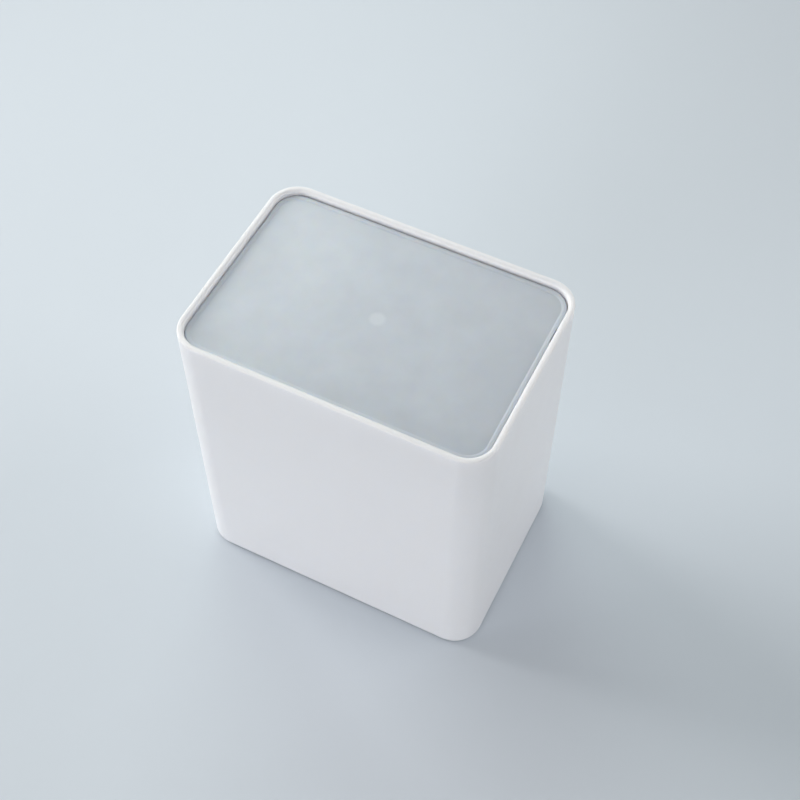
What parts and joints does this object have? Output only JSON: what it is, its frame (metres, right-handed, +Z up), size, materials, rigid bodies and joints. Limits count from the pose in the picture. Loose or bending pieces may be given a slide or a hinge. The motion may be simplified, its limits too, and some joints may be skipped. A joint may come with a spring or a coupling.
{
  "type": "storage case with a see-saw lid",
  "caption": "Small upright case with rounded corners and a frosted lid let in below its rim. Pressing the rear of the lid tips its front edge up on a hidden pivot.",
  "frame": {"origin": "centre of the footprint, on the surface that the foot pads stand on", "axes": "+Z up, +X to the right along the wide side, +Y to the rear, towards the pivot of the lid"},
  "size_m": [0.1, 0.07, 0.11],
  "materials": {
    "case_plastic": "fine satin moulding, cool white",
    "lid_plastic": "frosted, see-through, cool grey",
    "pin_steel": "ground stainless dowel",
    "pad_rubber": "soft matt, pale grey"
  },
  "bodies": {
    "case": {"case_body": "case_plastic", "foot_pad_front_left": "pad_rubber", "foot_pad_front_right": "pad_rubber", "foot_pad_rear_left": "pad_rubber", "foot_pad_rear_right": "pad_rubber"},
    "lid": {"lid_panel": "lid_plastic", "pivot_pin_left": "pin_steel", "pivot_pin_right": "pin_steel"}
  },
  "joints": [
    {"name": "lid_tilt", "type": "hinge", "parent": "case", "child": "lid", "pos_m": [0, 0.017, 0.10495], "axis": [-1, 0, 0], "range_deg": [0, 60]}
  ]
}
